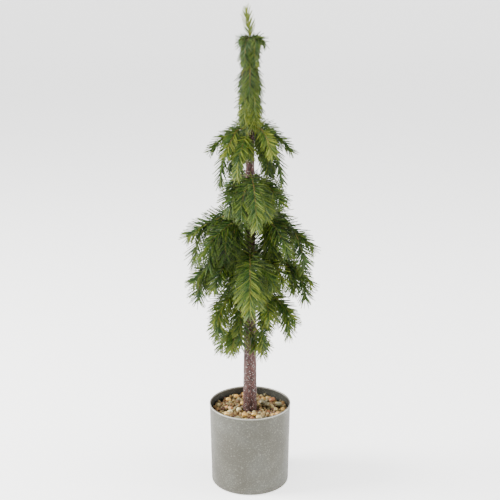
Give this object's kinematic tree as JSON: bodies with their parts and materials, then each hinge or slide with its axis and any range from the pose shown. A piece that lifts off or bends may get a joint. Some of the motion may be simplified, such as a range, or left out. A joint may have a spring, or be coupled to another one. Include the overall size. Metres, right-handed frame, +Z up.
{
  "type": "artificial tabletop tree",
  "caption": "Slim artificial fir with drooping bendable branches on a bare lower trunk, standing in a zinc-look pot filled with pebbles.",
  "frame": {"origin": "centre of the pot's flat underside, where it stands on the table", "axes": "+Z up along the trunk, -Y towards the front, +X to the right seen from the front"},
  "size_m": [0.1978, 0.1824, 0.7426],
  "materials": {
    "zinc": "matte",
    "cement": "matte",
    "foam": "matte",
    "glue": "satin",
    "pebble_tan": "satin",
    "pebble_cream": "satin",
    "pebble_rust": "satin",
    "pebble_grey": "satin",
    "steel": "satin",
    "bark": "matte",
    "stem": "matte",
    "stem_young": "matte",
    "needle": "satin",
    "needle_young": "satin"
  },
  "bodies": {
    "potted_trunk": {"pot_shell": "zinc", "ballast_block": "cement", "foam_disc": "foam", "glue_bed": "glue", "pebbles_tan": "pebble_tan", "pebbles_cream": "pebble_cream", "pebbles_rust": "pebble_rust", "pebbles_grey": "pebble_grey", "trunk_core": "steel", "anchor_bar": "steel", "trunk_bark": "bark", "branch_pegs": "bark", "column_wires": "stem", "column_needles_top": "needle", "column_needles_mid": "needle", "column_needles_low": "needle"},
    "leader": {"leader_stem": "stem_young", "leader_needles": "needle_young"},
    "branch_01": {"branch_01_stem": "stem", "branch_01_needles": "needle"},
    "branch_02": {"branch_02_stem": "stem", "branch_02_needles": "needle"},
    "branch_03": {"branch_03_stem": "stem", "branch_03_needles": "needle"},
    "branch_04": {"branch_04_stem": "stem", "branch_04_needles": "needle"},
    "branch_05": {"branch_05_stem": "stem", "branch_05_needles": "needle"},
    "branch_06": {"branch_06_stem": "stem", "branch_06_needles": "needle"},
    "branch_07": {"branch_07_stem": "stem", "branch_07_needles": "needle"},
    "branch_08": {"branch_08_stem": "stem", "branch_08_needles": "needle"},
    "branch_09": {"branch_09_stem": "stem", "branch_09_needles": "needle"},
    "branch_10": {"branch_10_stem": "stem", "branch_10_needles": "needle"},
    "branch_11": {"branch_11_stem": "stem", "branch_11_needles": "needle"},
    "branch_12": {"branch_12_stem": "stem", "branch_12_needles": "needle"},
    "branch_13": {"branch_13_stem": "stem", "branch_13_needles": "needle"},
    "branch_14": {"branch_14_stem": "stem", "branch_14_needles": "needle"},
    "branch_15": {"branch_15_stem": "stem", "branch_15_needles": "needle"},
    "branch_16": {"branch_16_stem": "stem", "branch_16_needles": "needle"},
    "branch_17": {"branch_17_stem": "stem", "branch_17_needles": "needle"},
    "branch_18": {"branch_18_stem": "stem", "branch_18_needles": "needle"},
    "branch_19": {"branch_19_stem": "stem", "branch_19_needles": "needle"},
    "branch_20": {"branch_20_stem": "stem", "branch_20_needles": "needle"},
    "branch_21": {"branch_21_stem": "stem", "branch_21_needles": "needle"}
  },
  "joints": [
    {"name": "leader_bend", "type": "hinge", "parent": "potted_trunk", "child": "leader", "pos_m": [0, 0, 0.695], "axis": [0, 1, 0], "range_deg": [-30, 40]},
    {"name": "branch_01_bend", "type": "hinge", "parent": "potted_trunk", "child": "branch_01", "pos_m": [-0.00952, -0.00237, 0.562], "axis": [-0.2419, 0.9703, 0], "range_deg": [-8, 30]},
    {"name": "branch_02_bend", "type": "hinge", "parent": "potted_trunk", "child": "branch_02", "pos_m": [0.00952, -0.00237, 0.562], "axis": [-0.2419, -0.9703, 0], "range_deg": [-20, 30]},
    {"name": "branch_03_bend", "type": "hinge", "parent": "potted_trunk", "child": "branch_03", "pos_m": [-0.00338, -0.00929, 0.554], "axis": [-0.9397, 0.342, 0], "range_deg": [-15, 30]},
    {"name": "branch_04_bend", "type": "hinge", "parent": "potted_trunk", "child": "branch_04", "pos_m": [0.00085, 0.00975, 0.564], "axis": [0.9962, -0.0872, 0], "range_deg": [-20, 30]},
    {"name": "branch_05_bend", "type": "hinge", "parent": "potted_trunk", "child": "branch_05", "pos_m": [0.00862, -0.00604, 0.486], "axis": [-0.5736, -0.8192, 0], "range_deg": [-15, 30]},
    {"name": "branch_06_bend", "type": "hinge", "parent": "potted_trunk", "child": "branch_06", "pos_m": [-0.00649, -0.00831, 0.484], "axis": [-0.788, 0.6157, 0], "range_deg": [-6, 30]},
    {"name": "branch_07_bend", "type": "hinge", "parent": "potted_trunk", "child": "branch_07", "pos_m": [0.00109, -0.01041, 0.492], "axis": [-0.9945, -0.1045, 0], "range_deg": [-20, 30]},
    {"name": "branch_08_bend", "type": "hinge", "parent": "potted_trunk", "child": "branch_08", "pos_m": [-0.00146, 0.01042, 0.486], "axis": [0.9903, 0.1392, 0], "range_deg": [-8, 30]},
    {"name": "branch_09_bend", "type": "hinge", "parent": "potted_trunk", "child": "branch_09", "pos_m": [-0.01097, -0.00077, 0.436], "axis": [-0.0698, 0.9976, 0], "range_deg": [-20, 20]},
    {"name": "branch_10_bend", "type": "hinge", "parent": "potted_trunk", "child": "branch_10", "pos_m": [-0.00894, -0.0065, 0.43], "axis": [-0.5878, 0.809, 0], "range_deg": [-10, 20]},
    {"name": "branch_11_bend", "type": "hinge", "parent": "potted_trunk", "child": "branch_11", "pos_m": [0.0108, -0.00229, 0.432], "axis": [-0.2079, -0.9781, 0], "range_deg": [-10, 20]},
    {"name": "branch_12_bend", "type": "hinge", "parent": "potted_trunk", "child": "branch_12", "pos_m": [0.00583, 0.00933, 0.436], "axis": [0.848, -0.5299, 0], "range_deg": [-20, 8]},
    {"name": "branch_13_bend", "type": "hinge", "parent": "potted_trunk", "child": "branch_13", "pos_m": [0, -0.01154, 0.378], "axis": [-1, 0, 0], "range_deg": [-10, 30]},
    {"name": "branch_14_bend", "type": "hinge", "parent": "potted_trunk", "child": "branch_14", "pos_m": [-0.00432, 0.0107, 0.378], "axis": [0.9272, 0.3746, 0], "range_deg": [-15, 30]},
    {"name": "branch_15_bend", "type": "hinge", "parent": "potted_trunk", "child": "branch_15", "pos_m": [0.01141, -0.00201, 0.374], "axis": [-0.1736, -0.9848, 0], "range_deg": [-8, 15]},
    {"name": "branch_16_bend", "type": "hinge", "parent": "potted_trunk", "child": "branch_16", "pos_m": [-0.01114, -0.00319, 0.374], "axis": [-0.2756, 0.9613, 0], "range_deg": [-15, 25]},
    {"name": "branch_17_bend", "type": "hinge", "parent": "potted_trunk", "child": "branch_17", "pos_m": [-0.00899, -0.00809, 0.32], "axis": [-0.6691, 0.7431, 0], "range_deg": [-15, 20]},
    {"name": "branch_18_bend", "type": "hinge", "parent": "potted_trunk", "child": "branch_18", "pos_m": [0.01026, -0.00641, 0.32], "axis": [-0.5299, -0.848, 0], "range_deg": [-20, 20]},
    {"name": "branch_19_bend", "type": "hinge", "parent": "potted_trunk", "child": "branch_19", "pos_m": [0.00313, 0.01168, 0.32], "axis": [0.9659, -0.2588, 0], "range_deg": [-20, 20]},
    {"name": "branch_20_bend", "type": "hinge", "parent": "potted_trunk", "child": "branch_20", "pos_m": [-0.01144, -0.00533, 0.264], "axis": [-0.4226, 0.9063, 0], "range_deg": [-20, 30]},
    {"name": "branch_21_bend", "type": "hinge", "parent": "potted_trunk", "child": "branch_21", "pos_m": [0.00851, -0.00945, 0.254], "axis": [-0.7431, -0.6691, 0], "range_deg": [-15, 30]}
  ]
}
